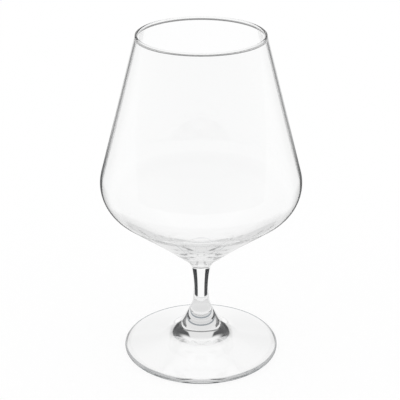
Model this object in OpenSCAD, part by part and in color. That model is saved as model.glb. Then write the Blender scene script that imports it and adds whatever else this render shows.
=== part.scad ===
// Brandy snifter of clear glass in three fused pieces: a wide blown bowl that
// narrows to its rim, a short drawn stem with a waist, and a round foot that
// flares up to meet the stem. Each piece is turned round the vertical axis.
// The origin is on the table, in the middle of the foot. Sizes are in millimetres.

/* [Bowl] */
// Height of the bowl, from its joint with the stem to the top of the rim
bowl_h = 117.7; // [108:0.1:128]
// Widest outer diameter of the bowl
bowl_d = 94.9; // [88:0.1:102]
// Height of the widest place above the joint
belly_h = 46.3; // [43:0.1:52]
// Outer radius of the shoulder, where the low cone turns up into the side
shoulder_r = 18.7; // [14:0.1:22]
// Outer diameter of the rim, over its bead
rim_d = 59.6; // [52:0.1:68]
// Thickness of the blown side
wall = 1; // [0.9:0.05:1.8]
// How far the fire polished bead of the rim stands out on each face of the side
bead_swell = 0.12; // [0.05:0.01:0.3]

/* [Bowl bottom] */
// Height of the neck above the joint, up to where the low cone opens
neck_h = 3.5; // [3.1:0.1:5]
// Outer radius of the bend between the neck and the low cone
neck_fillet = 7.1; // [4:0.1:8.4]
// How far the low cone is drawn in, half way up, from a straight line
cone_dip = 0.5; // [0.2:0.1:1.5]
// Radius of the soft curve at that place
cone_fillet = 80; // [40:1:100]
// Thickness of the solid glass from the joint up to the inside bottom
floor_t = 14.7; // [12:0.1:16]
// Radius of the inside bottom, out to the corner that the bend up the cone rounds
floor_r = 11.9; // [9:0.1:14]
// Inner radius of the bend between the inside bottom and the cone
floor_fillet = 22; // [10:0.1:30]

/* [Stem] */
// Length of the stem between its two joints
stem_h = 16; // [12:0.1:30]
// Diameter of the stem at its waist
waist_d = 7.46; // [6:0.02:10]
// Height of the waist above the joint with the foot
waist_h = 4.9; // [4:0.1:8]
// Radius of the long curve that draws the stem in to its waist
stem_curve_r = 72; // [60:1:150]

/* [Foot] */
// Height of the foot, from the table to its joint with the stem
foot_h = 26.3; // [24:0.1:30]
// Outer diameter of the foot
foot_d = 75.4; // [68:0.1:84]
// Thickness of the foot at its rounded edge
edge_t = 2.6; // [2:0.1:3.4]
// Slope of the foot's upper face, in degrees
disc_slope = 15; // [10:0.1:17]
// Depth below the joint at which the skirt leaves the stem's line
skirt_drop = 2; // [1.5:0.1:3]
// Radius of the bend between the stem's line and the skirt
skirt_top_fillet = 9.9; // [5:0.1:14]
// Slope of the skirt, in degrees
skirt_slope = 63.1; // [58:0.1:68]
// Radius of the bend between the skirt and the foot's upper face
skirt_fillet = 15.4; // [6:0.1:18]
// Height of the hollow in the middle of the underside
hollow_h = 3.5; // [1.5:0.1:5]
// Radius of the level middle of the hollow, out to the corner that its bend rounds
hollow_level = 6.1; // [4:0.1:12]
// Radius of the bend between the level middle and the slope down to the ring
hollow_fillet = 20; // [10:1:90]
// Width of the flat ring on which the foot rests
rest_w = 2.4; // [1.5:0.1:4]

/* [Hidden] */
$fn = 72;

// Largest distance between a curve of an outline and its chords
curve_tol = 0.015;

// Clear glass
glass = [0.9, 0.93, 0.94, 0.35];

// Heights of the two fused joints above the table
foot_joint = foot_h;
bowl_joint = foot_h + stem_h;

// Radius of the stem at a height above its joint with the foot, and its lean there
function stem_r(h) = waist_d / 2 + stem_curve_r - sqrt(pow(stem_curve_r, 2) - pow(h - waist_h, 2));
function stem_lean(h) = asin((h - waist_h) / stem_curve_r);

// Bowl: centre of the shoulder's curves, and centre and radius of the rim's bead
shoulder_c = [bowl_d / 2 - shoulder_r, belly_h];
bead_r = wall / 2 + bead_swell;
bead_c = [rim_d / 2 - bead_r, bowl_h - bead_r];

// Foot: radius of the rounded edge, its centre, and where the upper face starts on it
edge_r = edge_t / 2;
edge_c = [foot_d / 2 - edge_r, edge_r];
disc_start = polar(edge_c, edge_r, 90 - disc_slope);

// Point at radius r and angle a round centre c
function polar(c, r, a) = c + r * [cos(a), sin(a)];

// Points of a curve of radius r round centre c, from angle a0 to angle a1
function arc(c, r, a0, a1) =
    let (steps = ceil(abs(a1 - a0) / (2 * acos(1 - curve_tol / r))))
    [for (i = [0:steps]) polar(c, r, a0 + (a1 - a0) * i / steps)];

// Angle at which a line from point p touches the circle (c, r).
// Side 1 is the touch that lies counterclockwise of p, side -1 the other.
function touch(p, c, r, side) = atan2(p.y - c.y, p.x - c.x) + side * acos(r / norm(p - c));

// Where the line through p at angle a crosses the line through q at angle b
function crossing(p, a, q, b) =
    let (d = q - p)
    p + (d.x * sin(b) - d.y * cos(b)) / sin(b - a) * [cos(a), sin(a)];

// Curve of radius r in the corner at b, on the way from point a to point c.
// It is no larger than the shorter of its two sides leaves room for.
function bend(a, b, c, r) =
    let (
        to_a = (a - b) / norm(a - b),
        to_c = (c - b) / norm(c - b),
        half = acos(to_a * to_c) / 2,
        middle = (to_a + to_c) / norm(to_a + to_c),
        bend_r = min(r, min(norm(a - b), norm(c - b)) * tan(half)),
        centre = b + middle * bend_r / sin(half),
        turn = 90 - half,
        side = sign(to_a.x * to_c.y - to_a.y * to_c.x),
        back = atan2(-middle.y, -middle.x)
    )
    arc(centre, bend_r, back + side * turn, back - side * turn);

// Outside of the bowl, from the joint up to the rim
function bowl_outside(side_a) =
    let (
        joint = [stem_r(stem_h), 0],
        neck = joint + neck_h * [tan(stem_lean(stem_h)), 1],
        straight_a = touch(neck, shoulder_c, shoulder_r, 1),
        half_way = (neck + polar(shoulder_c, shoulder_r, straight_a)) / 2,
        cone = polar(half_way, -cone_dip, straight_a),
        low_a = touch(cone, shoulder_c, shoulder_r, 1)
    )
    concat(
        [[0, 0], joint],
        bend(joint, neck, cone, neck_fillet),
        bend(neck, cone, polar(shoulder_c, shoulder_r, low_a), cone_fillet),
        arc(shoulder_c, shoulder_r, low_a, side_a)
    );

// Inside of the bowl, from the rim down to the middle of its bottom
function bowl_inside(side_a) =
    let (
        inner_r = shoulder_r - wall,
        middle = [0, floor_t],
        corner = [floor_r, floor_t],
        low_a = touch(corner, shoulder_c, inner_r, 1)
    )
    concat(
        arc(shoulder_c, inner_r, side_a, low_a),
        bend(polar(shoulder_c, inner_r, low_a), corner, middle, floor_fillet),
        [middle]
    );

module bowl() {
    // The two faces of the side run parallel from the shoulder to the bead
    side_a = touch(bead_c, shoulder_c, shoulder_r - wall / 2, -1);
    bead_a = acos(wall / 2 / bead_r);
    color(glass)
        translate([0, 0, bowl_joint])
            rotate_extrude()
                polygon(concat(
                    bowl_outside(side_a),
                    arc(bead_c, bead_r, side_a - bead_a, side_a + 180 + bead_a),
                    bowl_inside(side_a)
                ));
}

module stem() {
    curve_c = [waist_d / 2 + stem_curve_r, waist_h];
    color(glass)
        translate([0, 0, foot_joint])
            rotate_extrude()
                polygon(concat(
                    [[0, 0]],
                    arc(curve_c, stem_curve_r, 180 - stem_lean(0), 180 - stem_lean(stem_h)),
                    [[0, stem_h]]
                ));
}

module foot() {
    joint = [stem_r(0), foot_joint];
    skirt_top = joint - skirt_drop * [tan(stem_lean(0)), 1];
    skirt_base = crossing(skirt_top, -skirt_slope, disc_start, -disc_slope);
    top = [0, hollow_h];
    level = [hollow_level, hollow_h];
    rest = [edge_c.x - rest_w, 0];
    color(glass)
        rotate_extrude()
            polygon(concat(
                [top],
                bend(top, level, rest, hollow_fillet),
                [rest],
                arc(edge_c, edge_r, -90, 90 - disc_slope),
                bend(disc_start, skirt_base, skirt_top, skirt_fillet),
                bend(skirt_base, skirt_top, joint, skirt_top_fillet),
                [joint, [0, foot_joint]]
            ));
}

bowl();
stem();
foot();
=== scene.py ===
import math

import bpy
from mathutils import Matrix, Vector


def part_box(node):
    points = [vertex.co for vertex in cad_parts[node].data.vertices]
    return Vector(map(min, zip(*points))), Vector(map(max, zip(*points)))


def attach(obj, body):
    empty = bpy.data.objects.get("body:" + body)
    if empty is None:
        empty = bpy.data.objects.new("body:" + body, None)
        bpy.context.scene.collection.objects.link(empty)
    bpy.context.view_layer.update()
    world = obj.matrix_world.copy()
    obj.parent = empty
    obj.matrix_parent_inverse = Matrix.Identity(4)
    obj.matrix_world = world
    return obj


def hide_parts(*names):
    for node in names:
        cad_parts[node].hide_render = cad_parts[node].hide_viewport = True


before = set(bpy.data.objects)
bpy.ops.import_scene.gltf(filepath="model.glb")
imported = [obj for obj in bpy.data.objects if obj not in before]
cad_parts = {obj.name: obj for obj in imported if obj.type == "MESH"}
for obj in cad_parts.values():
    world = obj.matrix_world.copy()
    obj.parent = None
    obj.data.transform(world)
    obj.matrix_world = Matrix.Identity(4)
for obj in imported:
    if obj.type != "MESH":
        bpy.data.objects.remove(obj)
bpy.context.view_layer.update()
print("frame loaded:", ", ".join(sorted(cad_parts)))

mm = 0.001
bowlLow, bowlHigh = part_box("bowl")
stemLow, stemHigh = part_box("stem")
footLow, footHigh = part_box("foot")


# Half outlines: x is the radius, y the height

def polar(centre, radius, angle):
    return centre + radius * Vector((math.cos(angle), math.sin(angle)))


def arc(centre, radius, start, end, step):
    # points of a curve, no further apart than step
    count = max(2, math.ceil(abs(end - start) * radius / step))
    return [polar(centre, radius, start + (end - start) * i / count) for i in range(count + 1)]


def touch(point, centre, radius, side):
    # angle on the circle at which a line from the point touches it
    away = point - centre
    return math.atan2(away.y, away.x) + side * math.acos(radius / away.length)


def bend(before, corner, after, radius, step):
    # a curve in the corner between two straight runs
    back, onward = (before - corner).normalized(), (after - corner).normalized()
    half = back.angle(onward) / 2
    middle = (back + onward).normalized()
    radius = min(radius, min((before - corner).length, (after - corner).length) * math.tan(half))
    centre = corner + middle * radius / math.sin(half)
    turn = math.pi / 2 - half
    side = 1 if back.x * onward.y > back.y * onward.x else -1
    facing = math.atan2(-middle.y, -middle.x)
    return arc(centre, radius, facing + side * turn, facing - side * turn, step)


def spaced(points, step):
    # adds points along the long straight runs, so that the rings stay evenly spaced
    filled = [points[0]]
    for start, end in zip(points, points[1:]):
        count = max(1, math.ceil((end - start).length / step))
        filled += [start.lerp(end, i / count) for i in range(1, count + 1)]
    return filled


stemSizes = {
    "waistRadius": 3.73 * mm,
    "waistHeight": 4.9 * mm,
    "curveRadius": 72 * mm,
    "ringStep": 0.5 * mm,
    "segments": 160,
}


def stemRadius(height):
    rise = height - stemSizes["waistHeight"]
    curve = stemSizes["curveRadius"]
    return stemSizes["waistRadius"] + curve - math.sqrt(curve ** 2 - rise ** 2)


def stemLean(height):
    return math.asin((height - stemSizes["waistHeight"]) / stemSizes["curveRadius"])


# Modelling

mergeDistance = 0.01 * mm
smoothAngle = math.radians(35)
flatEnough = 0.999  # height of an upright normal
onJoint = 0.001 * mm


def turned(name, outline, segments):
    # a vertex is drawn out along the half outline, then spun round the axis
    bpy.ops.object.select_all(action="DESELECT")
    bpy.ops.mesh.primitive_plane_add(size=mm, location=(outline[0].x, 0, outline[0].y))
    piece = bpy.context.object
    piece.name = piece.data.name = name
    bpy.ops.object.mode_set(mode="EDIT")
    bpy.ops.mesh.select_all(action="SELECT")
    bpy.ops.mesh.merge(type="CENTER")
    for start, end in zip(outline, outline[1:]):
        move = end - start
        bpy.ops.mesh.extrude_region_move(TRANSFORM_OT_translate={"value": (move.x, 0, move.y)})
    bpy.ops.mesh.select_all(action="SELECT")
    bpy.ops.mesh.spin(steps=segments, angle=2 * math.pi, center=(0, 0, 0), axis=(0, 0, 1))
    bpy.ops.mesh.select_all(action="SELECT")
    bpy.ops.mesh.remove_doubles(threshold=mergeDistance)
    bpy.ops.mesh.normals_make_consistent(inside=False)
    bpy.ops.object.mode_set(mode="OBJECT")
    bpy.ops.object.transform_apply(location=True, rotation=True, scale=True)
    bpy.ops.object.shade_smooth_by_angle(angle=smoothAngle)
    return piece


bowlSizes = {
    "shoulderRadius": 18.7 * mm,
    "bellyHeight": 46.3 * mm,  # above the joint, as all heights here
    "rimRadius": 29.8 * mm,
    "wall": 1.0 * mm,
    "beadSwell": 0.12 * mm,
    "neckHeight": 3.5 * mm,
    "neckBend": 7.1 * mm,
    "coneDip": 0.5 * mm,
    "coneBend": 80 * mm,
    "floor": 14.7 * mm,
    "floorRadius": 11.9 * mm,
    "floorBend": 22 * mm,
    "ringStep": 1.2 * mm,
    "fineStep": 0.12 * mm,
    "segments": 192,
}


def bowlOutline(s):
    joint = stemHigh.z
    stemHeight = stemHigh.z - stemLow.z
    widest = min(bowlHigh.x, -bowlLow.x)
    top = bowlHigh.z
    step = s["ringStep"]
    shoulder = Vector((widest - s["shoulderRadius"], joint + s["bellyHeight"]))
    beadRadius = s["wall"] / 2 + s["beadSwell"]
    bead = Vector((s["rimRadius"] - beadRadius, top - beadRadius))
    sideAngle = touch(bead, shoulder, s["shoulderRadius"] - s["wall"] / 2, -1)
    beadAngle = math.acos(s["wall"] / 2 / beadRadius)
    seat = Vector((stemRadius(stemHeight), joint))
    neck = seat + s["neckHeight"] * Vector((math.tan(stemLean(stemHeight)), 1))
    straight = touch(neck, shoulder, s["shoulderRadius"], 1)
    halfWay = (neck + polar(shoulder, s["shoulderRadius"], straight)) / 2
    cone = polar(halfWay, -s["coneDip"], straight)
    lowAngle = touch(cone, shoulder, s["shoulderRadius"], 1)
    inner = s["shoulderRadius"] - s["wall"]
    corner = Vector((s["floorRadius"], joint + s["floor"]))
    middle = Vector((0, joint + s["floor"]))
    innerLow = touch(corner, shoulder, inner, 1)
    outside = [Vector((0, joint)), seat]
    outside += bend(seat, neck, cone, s["neckBend"], step / 2)
    outside += bend(neck, cone, polar(shoulder, s["shoulderRadius"], lowAngle), s["coneBend"], step)
    outside += arc(shoulder, s["shoulderRadius"], lowAngle, 0, step)[:-1]
    outside += arc(shoulder, s["shoulderRadius"], 0, sideAngle, step)
    rim = arc(bead, beadRadius, sideAngle - beadAngle, sideAngle + math.pi + beadAngle, s["fineStep"])
    inside = arc(shoulder, inner, sideAngle, innerLow, step)
    inside += bend(polar(shoulder, inner, innerLow), corner, middle, s["floorBend"], step / 2)
    return spaced(outside + rim + inside + [middle], step)


bowl = turned("bowlGlass", bowlOutline(bowlSizes), bowlSizes["segments"])
print("bowl turned")


def stemOutline(s):
    low, high = stemLow.z, stemHigh.z
    curve = Vector((s["waistRadius"] + s["curveRadius"], low + s["waistHeight"]))
    start, end = math.pi - stemLean(0), math.pi - stemLean(high - low)
    side = arc(curve, s["curveRadius"], start, end, s["ringStep"])
    return spaced([Vector((0, low))] + side + [Vector((0, high))], s["ringStep"])


stem = turned("stemGlass", stemOutline(stemSizes), stemSizes["segments"])
print("stem turned")

footSizes = {
    "edge": 2.6 * mm,
    "discSlope": math.radians(15),
    "skirtDrop": 2 * mm,
    "skirtTopBend": 9.9 * mm,
    "skirtSlope": math.radians(63.1),
    "skirtBend": 15.4 * mm,
    "hollow": 3.5 * mm,
    "hollowLevel": 6.1 * mm,  # radius of its level middle
    "hollowBend": 20 * mm,
    "restWidth": 2.4 * mm,
    "ringStep": 0.8 * mm,
    "fineStep": 0.15 * mm,
    "segments": 192,
}


def crossing(p, a, q, b):
    # where the line through p at angle a meets the line through q at angle b
    d = q - p
    distance = (d.x * math.sin(b) - d.y * math.cos(b)) / math.sin(b - a)
    return polar(p, distance, a)


def footOutline(s):
    edgeRadius = s["edge"] / 2
    edge = Vector((min(footHigh.x, -footLow.x) - edgeRadius, edgeRadius))
    discStart = polar(edge, edgeRadius, math.pi / 2 - s["discSlope"])
    seat = Vector((stemRadius(0), footHigh.z))
    skirtTop = seat - s["skirtDrop"] * Vector((math.tan(stemLean(0)), 1))
    skirtBase = crossing(skirtTop, -s["skirtSlope"], discStart, -s["discSlope"])
    middle, rest = Vector((0, s["hollow"])), Vector((edge.x - s["restWidth"], 0))
    level = middle + Vector((s["hollowLevel"], 0))
    outline = [middle] + bend(middle, level, rest, s["hollowBend"], s["ringStep"]) + [rest]
    outline += arc(edge, edgeRadius, -math.pi / 2, math.pi / 2 - s["discSlope"], s["fineStep"])
    outline += bend(discStart, skirtBase, skirtTop, s["skirtBend"], s["ringStep"])
    outline += bend(skirtBase, skirtTop, seat, s["skirtTopBend"], s["ringStep"])
    return spaced(outline + [seat, Vector((0, footHigh.z))], s["ringStep"])


foot = turned("footGlass", footOutline(footSizes), footSizes["segments"])
print("foot turned")


# Shading

class Wire:
    # a socket that adds Math nodes when it is used in a sum
    def __init__(self, tree, socket):
        self.tree, self.socket = tree, socket

    def sum(self, operation, first, second):
        return self.tree.add("ShaderNodeMath", {"operation": operation}, {0: first, 1: second})

    def __add__(self, other):
        return self.sum("ADD", self, other)

    def __radd__(self, other):
        return self.sum("ADD", other, self)

    def __sub__(self, other):
        return self.sum("SUBTRACT", self, other)

    def __rsub__(self, other):
        return self.sum("SUBTRACT", other, self)

    def __mul__(self, other):
        return self.sum("MULTIPLY", self, other)

    def __rmul__(self, other):
        return self.sum("MULTIPLY", other, self)

    def __gt__(self, other):
        return self.sum("GREATER_THAN", self, other)

    def __lt__(self, other):
        return self.sum("LESS_THAN", self, other)


class Tree:
    def __init__(self, owner):
        owner.use_nodes = True
        self.nodes, self.links = owner.node_tree.nodes, owner.node_tree.links
        self.nodes.clear()

    def add(self, kind, settings=None, inputs=None, output=0):
        node = self.nodes.new(kind)
        for name, value in (settings or {}).items():
            if name == "stops":
                while len(node.color_ramp.elements) < len(value):
                    node.color_ramp.elements.new(1)
                for element, (position, colour) in zip(node.color_ramp.elements, value):
                    element.position, element.color = position, colour
            else:
                setattr(node, name, value)
        for name, value in (inputs or {}).items():
            if isinstance(value, Wire):
                self.links.new(value.socket, node.inputs[name])
            else:
                node.inputs[name].default_value = value
        return Wire(self, node.outputs[output] if node.outputs else None)


def parts(tree, place):
    # the X, Y and Z of a place
    split = tree.add("ShaderNodeSeparateXYZ", inputs={0: place})
    return [Wire(tree, split.socket.node.outputs[name]) for name in "XYZ"]


def ramp(tree, value, middle, soft):
    # rises softly from 0 to 1 round the middle
    return tree.add("ShaderNodeMapRange", {"interpolation_type": "SMOOTHSTEP"}, {
        "Value": value, "From Min": middle - soft, "From Max": middle + soft})


glassLook = {
    "ior": 1.51,
    "tint": (0.997, 0.998, 0.998, 1),
    "waveScale": 45,  # slow waves of the blown surface, per metre
    "waveDetail": 1.0,
    "waveHeight": 0.004 * mm,
    "edgeShadeFrom": 36.9 * mm,  # beyond this radius the foot's rounded edge is darkened: painted shade for the dark outline the edge shows
    "edgeShadeSoft": 0.25 * mm,
    "edgeShadeHeight": 2.6 * mm,
    "edgeShadeStops": [
        (0.18, (0.11, 0.135, 0.16, 1)),
        (0.29, (0.41, 0.43, 0.44, 1)),
        (0.4, (0.78, 0.79, 0.79, 1)),
        (0.52, (0.66, 0.665, 0.67, 1)),
        (0.78, (0.8, 0.805, 0.81, 1)),
        (0.93, (0.92, 0.925, 0.93, 1)),
        (1.0, (0.997, 0.998, 0.998, 1)),
    ],
}


def clearGlass(name, s):
    material = bpy.data.materials.new(name)
    tree = Tree(material)
    place = tree.add("ShaderNodeTexCoord", output="Object")
    waves = tree.add("ShaderNodeTexNoise", inputs={
        "Vector": place, "Scale": s["waveScale"], "Detail": s["waveDetail"]})
    bump = tree.add("ShaderNodeBump", inputs={
        "Height": waves, "Distance": s["waveHeight"], "Strength": 1.0})
    height = parts(tree, place)[2]
    level = tree.add("ShaderNodeVectorMath", {"operation": "MULTIPLY"}, {0: place, 1: (1, 1, 0)})
    radius = tree.add("ShaderNodeVectorMath", {"operation": "LENGTH"}, {0: level}, output="Value")
    # painted shade: the foot's rounded edge is darkened by height, most at its lowest and top lines
    edge = tree.add("ShaderNodeValToRGB", {"stops": s["edgeShadeStops"]}, {0: height * (1 / s["edgeShadeHeight"])})
    colour = tree.add("ShaderNodeMix", {"data_type": "RGBA"}, {
        0: ramp(tree, radius, s["edgeShadeFrom"], s["edgeShadeSoft"]), 6: s["tint"], 7: edge}, output=2)
    glass = tree.add("ShaderNodeBsdfPrincipled", inputs={
        "Base Color": colour,
        "Roughness": 0.0,
        "IOR": s["ior"],
        "Transmission Weight": 1.0,
        "Normal": bump,
    })
    tree.add("ShaderNodeOutputMaterial", inputs={"Surface": glass})
    return material


def fusedSeam(name):
    # the flat faces that are fused to the next piece show no surface
    material = bpy.data.materials.new(name)
    tree = Tree(material)
    nothing = tree.add("ShaderNodeBsdfTransparent")
    tree.add("ShaderNodeOutputMaterial", inputs={"Surface": nothing})
    return material


def giveSeams(piece, heights, material):
    # the faces that lie flat on a joint get the seam's material
    piece.data.materials.append(material)
    for face in piece.data.polygons:
        flat = abs(face.normal.z) > flatEnough
        if flat and any(abs(face.center.z - height) < onJoint for height in heights):
            face.material_index = 1


glass = clearGlass("clearGlass", glassLook)
seam = fusedSeam("fusedSeam")
for piece, node, joints in (
    (bowl, "bowl", [bowlLow.z]),
    (stem, "stem", [stemLow.z, stemHigh.z]),
    (foot, "foot", [footHigh.z]),
):
    piece.data.materials.append(glass)
    giveSeams(piece, joints, seam)
    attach(piece, "root")
    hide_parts(node)
print("glass laid on")


# Studio

studio = {
    "floorSize": 12.0,
    "airGap": 0.05 * mm,  # the foot touches the table at a few points only, so air stays under it
    "shadow": 0.12,  # part of the table's white that takes the shadow of the glass
    "mirrored": 0.95,  # level of the pale surroundings in a reflection
    "roomMirrored": 0.68,  # the same behind the camera
    "roomSoft": math.radians(40),
    "fading": 0.94,  # what each further reflection inside the glass leaves
    "manyMirrors": 6.5,  # after more reflections than this the surroundings are one plain level
    "manyMirrored": 0.68,
    "cardFrom": math.radians(18.5),  # two dark cards stand behind the glass, left and right
    "cardTo": math.radians(39),
    "cardToClear": math.radians(50),  # the same for light that was bent
    "cardSoft": math.radians(1.3),
    "cardNear": 44 * mm,
    "cardNearSoft": 1.8 * mm,
    "cardFar": 320 * mm,  # for light that was bent, not reflected
    "cardFarSoft": 20 * mm,
    "cardTop": 0.59,  # sine of the elevation at which a card ends
    "cardTopSoft": 0.07,
    "cardColour": (0.011, 0.013, 0.016, 1),
    "cardMirrored": 0.07,  # part of the pale level that a card still has in a reflection
    "contactShadowFrom": 36.3 * mm,  # painted contact shadow: the table is dark under the edge of the foot and just outside it
    "contactShadowTo": 41 * mm,
    "contactShadowSoft": 0.4 * mm,
    "contactShadow": 0.25,
    "contactShadowTurn": math.radians(70),  # not at the back
    "contactShadowTurnSoft": math.radians(20),
    "underShadowTo": 16 * mm,  # painted shadow: the table under the hub is a little darker too
    "underShadowSoft": 5 * mm,
    "underShadow": 0.8,
    "frontFrom": math.radians(60),  # the near table in front, as the outside of the glass reflects it
    "frontSoft": math.radians(10),
    "frontTo": 150 * mm,
    "frontToSoft": 20 * mm,
    "front": 0.3,
    "sideFrom": 100 * mm,  # the table farther off at the sides, reflected in the same way
    "sideSoft": 25 * mm,
    "sideTurn": math.radians(5),
    "sideTurnSoft": math.radians(5),
    "sideTurnTo": math.radians(60),
    "sideTurnToSoft": math.radians(10),
    "side": 0.15,
    "sideTo": 350 * mm,
    "sideToSoft": 80 * mm,
    "sideFarther": 0.78,
    "tableEnd": 1100 * mm,  # beyond this the table is dim, up to the backdrop
    "tableEndSoft": 60 * mm,
    "backdropFoot": 0.14,
    "backdropFootSoft": 0.03,
    "dim": 0.22,
    "dimTurn": math.radians(45),
    "dimTurnSoft": math.radians(15),
    "lowTo": 0.342,  # the backdrop's foot, dark where the edge of the glass foot mirrors it once
    "lowSoft": 0.03,
    "lowTurn": math.radians(20),
    "lowTurnSoft": math.radians(5),
    "low": 0.7,
    "bandFrom": 0.21,  # sines of the elevations between which the backdrop is less bright
    "bandTo": 0.64,
    "bandSoft": 0.07,
    "band": 0.85,
    "sheenDim": 0.35,  # the backdrop and ceiling as the outside of the glass reflects them
    "sheenMiddle": 0.13,
    "sheenSoft": 0.24,
}


class Light:
    # what happened to the light on its way, as sockets; its depths are whole numbers, so a
    # half lies between two of them
    def __init__(self, tree, s):
        self.camera, diffuse, self.mirrors, self.passes = [
            tree.add("ShaderNodeLightPath", output=name)
            for name in ("Is Camera Ray", "Diffuse Depth", "Glossy Depth", "Transmission Depth")]
        direct = diffuse < 0.5
        self.mirrored = (self.mirrors > 0.5) * direct  # reflected at least once
        self.passed = (self.mirrors < 0.5) * direct * (self.passes > 0.5)  # only bent
        self.sheen = self.mirrored * (self.passes < 0.5)  # reflected by the outside of the glass
        self.inside = self.mirrored + self.passed - self.sheen
        self.often = (self.mirrors > s["manyMirrors"]) * direct
        further = tree.add("ShaderNodeMath", {"operation": "MAXIMUM"}, {0: self.mirrors - 1, 1: 0.0})
        self.fading = tree.add("ShaderNodeMath", {"operation": "POWER"}, {0: s["fading"], 1: further})


def cardSector(tree, across, along, light, s):
    # 1 in the two directions in which the cards stand, and the angle away from straight behind
    turn = tree.add("ShaderNodeMath", {"operation": "ARCTAN2"}, {0: across, 1: along})
    aside = tree.add("ShaderNodeMath", {"operation": "ABSOLUTE"}, {0: turn})
    narrow = aside + light.mirrored * (s["cardToClear"] - s["cardTo"])
    sector = ramp(tree, aside, s["cardFrom"], s["cardSoft"])
    sector = sector * (1 - ramp(tree, narrow, s["cardToClear"], s["cardSoft"]))
    sector = sector * (1 - light.mirrored * s["cardMirrored"]) * (light.passes < 2.5)
    return sector, aside


def shade(tree, light, card, level, s):
    # the surroundings' level, with the cards in it, and the plain level after many reflections
    level = level * light.fading * (1 - light.often) + light.often * s["manyMirrored"]
    colour = tree.add("ShaderNodeMix", {"data_type": "RGBA"}, {
        0: card * (1 - light.often), 6: (1, 1, 1, 1), 7: s["cardColour"]}, output=2)
    return {"Color": colour, "Strength": level}


def studioFloor(s):
    bpy.ops.object.select_all(action="DESELECT")
    bpy.ops.mesh.primitive_plane_add(size=s["floorSize"], location=(0, 0, -s["airGap"]))
    floor = bpy.context.object
    floor.name = "studioFloor"
    material = bpy.data.materials.new("paleFloor")
    tree = Tree(material)
    light = Light(tree, s)
    place = tree.add("ShaderNodeTexCoord", output="Object")
    across, along = parts(tree, place)[:2]
    sector, aside = cardSector(tree, across, along, light, s)
    reach = tree.add("ShaderNodeVectorMath", {"operation": "LENGTH"}, {0: place}, output="Value")
    sector = sector * ramp(tree, reach, s["cardNear"], s["cardNearSoft"])
    near = 1 - ramp(tree, reach, s["cardFar"], s["cardFarSoft"])
    seenThrough = light.passed * (light.passes > 1.5) * near
    card = sector * (light.mirrored * (light.passes > 0.5) + seenThrough)
    front = ramp(tree, aside, s["frontFrom"], s["frontSoft"])
    front = front * (1 - ramp(tree, reach, s["frontTo"], s["frontToSoft"])) * light.sheen
    side = ramp(tree, reach, s["sideFrom"], s["sideSoft"])
    side = side * ramp(tree, aside, s["sideTurn"], s["sideTurnSoft"]) * light.sheen
    side = side * (1 - ramp(tree, aside, s["sideTurnTo"], s["sideTurnToSoft"]))
    farther = ramp(tree, reach, s["sideTo"], s["sideToSoft"])
    sideLevel = s["side"] + (s["sideFarther"] - s["side"]) * farther
    # painted contact shadow on the table, seen only in and through the glass
    contactShadow = ramp(tree, reach, s["contactShadowFrom"], s["contactShadowSoft"])
    contactShadow = contactShadow * (1 - ramp(tree, reach, s["contactShadowTo"], s["contactShadowSoft"]))
    contactShadow = contactShadow * (light.passed + light.mirrored * (light.mirrors > 2.5))
    contactShadow = contactShadow * ramp(tree, aside, s["contactShadowTurn"], s["contactShadowTurnSoft"])
    # painted shadow under the hub, seen only in reflections in the glass
    underShadow = (1 - ramp(tree, reach, s["underShadowTo"], s["underShadowSoft"])) * light.mirrored
    distant = ramp(tree, reach, s["tableEnd"], s["tableEndSoft"]) * light.passed
    distant = distant * (1 - ramp(tree, aside, s["dimTurn"], s["dimTurnSoft"]))
    level = (1 - light.mirrored * (1 - s["mirrored"])) * (1 - distant * (1 - s["dim"]))
    level = level * (1 - contactShadow * (1 - s["contactShadow"])) * (1 - underShadow * (1 - s["underShadow"]))
    level = level * (1 - front * (1 - s["front"])) * (1 - side * (1 - sideLevel))
    seen = tree.add("ShaderNodeEmission", inputs=shade(tree, light, card, level, s))
    pale = tree.add("ShaderNodeBsdfDiffuse", inputs={"Color": (1, 1, 1, 1)})
    lit = tree.add("ShaderNodeMixShader", inputs={0: s["shadow"], 1: seen, 2: pale})
    surface = tree.add("ShaderNodeMixShader", inputs={0: light.camera, 1: seen, 2: lit})
    tree.add("ShaderNodeOutputMaterial", inputs={"Surface": surface})
    floor.data.materials.append(material)


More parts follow.
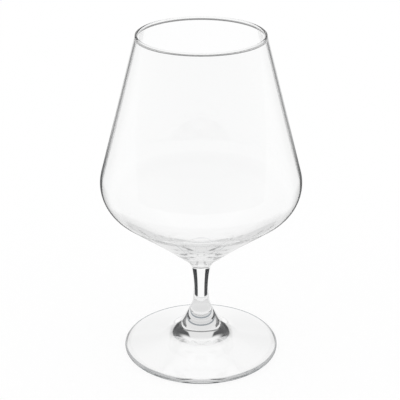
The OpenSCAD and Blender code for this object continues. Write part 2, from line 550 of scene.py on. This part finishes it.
def studioWorld(s):
    world = bpy.data.worlds.new("studioWorld")
    bpy.context.scene.world = world
    tree = Tree(world)
    light = Light(tree, s)
    direction = tree.add("ShaderNodeTexCoord", output="Generated")
    across, along, height = parts(tree, direction)
    sector, aside = cardSector(tree, across, along, light, s)
    card = sector * (1 - ramp(tree, height, s["cardTop"], s["cardTopSoft"])) * light.mirrored
    low = 1 - ramp(tree, height, s["lowTo"], s["lowSoft"])
    low = low * (1 - ramp(tree, aside, s["lowTurn"], s["lowTurnSoft"]))
    low = low * light.mirrored * (light.mirrors < 1.5) * (light.passes > 1.5) * (light.passes < 2.5)
    card = card + low * (1 - card) * s["low"]
    room = ramp(tree, aside, math.pi / 2, s["roomSoft"])
    level = 1 - light.mirrored * ((1 - s["mirrored"]) + room * (s["mirrored"] - s["roomMirrored"]))
    distant = 1 - ramp(tree, height, s["backdropFoot"], s["backdropFootSoft"])
    distant = distant * (1 - ramp(tree, aside, s["dimTurn"], s["dimTurnSoft"])) * light.passed
    level = level * (1 - distant * (1 - s["dim"]))
    band = ramp(tree, height, s["bandFrom"], s["bandSoft"])
    band = band * (1 - ramp(tree, height, s["bandTo"], s["bandSoft"]))
    level = level * (1 - band * light.inside * (1 - s["band"]))
    sheen = ramp(tree, height, s["sheenMiddle"], s["sheenSoft"]) * light.sheen
    level = level * (1 - sheen * (1 - s["sheenDim"]))
    back = tree.add("ShaderNodeBackground", inputs=shade(tree, light, card, level, s))
    tree.add("ShaderNodeOutputWorld", inputs={"Surface": back})


studioFloor(studio)
studioWorld(studio)
print("studio built")

cameraSetup = {
    "place": (-0.5 * mm, -531 * mm, 314.6 * mm),
    "pitch": math.radians(23.95),  # looking down
    "lens": 110.4,
    "sensor": 36.0,
    "clipStart": 0.01,
    "clipEnd": 50,
}


def photoCamera(s):
    data = bpy.data.cameras.new("photoCamera")
    data.lens, data.sensor_width = s["lens"], s["sensor"]
    data.clip_start, data.clip_end = s["clipStart"], s["clipEnd"]
    camera = bpy.data.objects.new("photoCamera", data)
    bpy.context.scene.collection.objects.link(camera)
    camera.location = s["place"]
    camera.rotation_euler = (math.pi / 2 - s["pitch"], 0, 0)
    bpy.context.scene.camera = camera


photoCamera(cameraSetup)
bpy.context.scene.view_settings.view_transform = "Standard"
bpy.context.scene.cycles.max_bounces = 64
bpy.context.scene.cycles.transmission_bounces = 24
bpy.context.scene.cycles.glossy_bounces = 48
bpy.context.scene.cycles.transparent_max_bounces = 16
print("camera set")
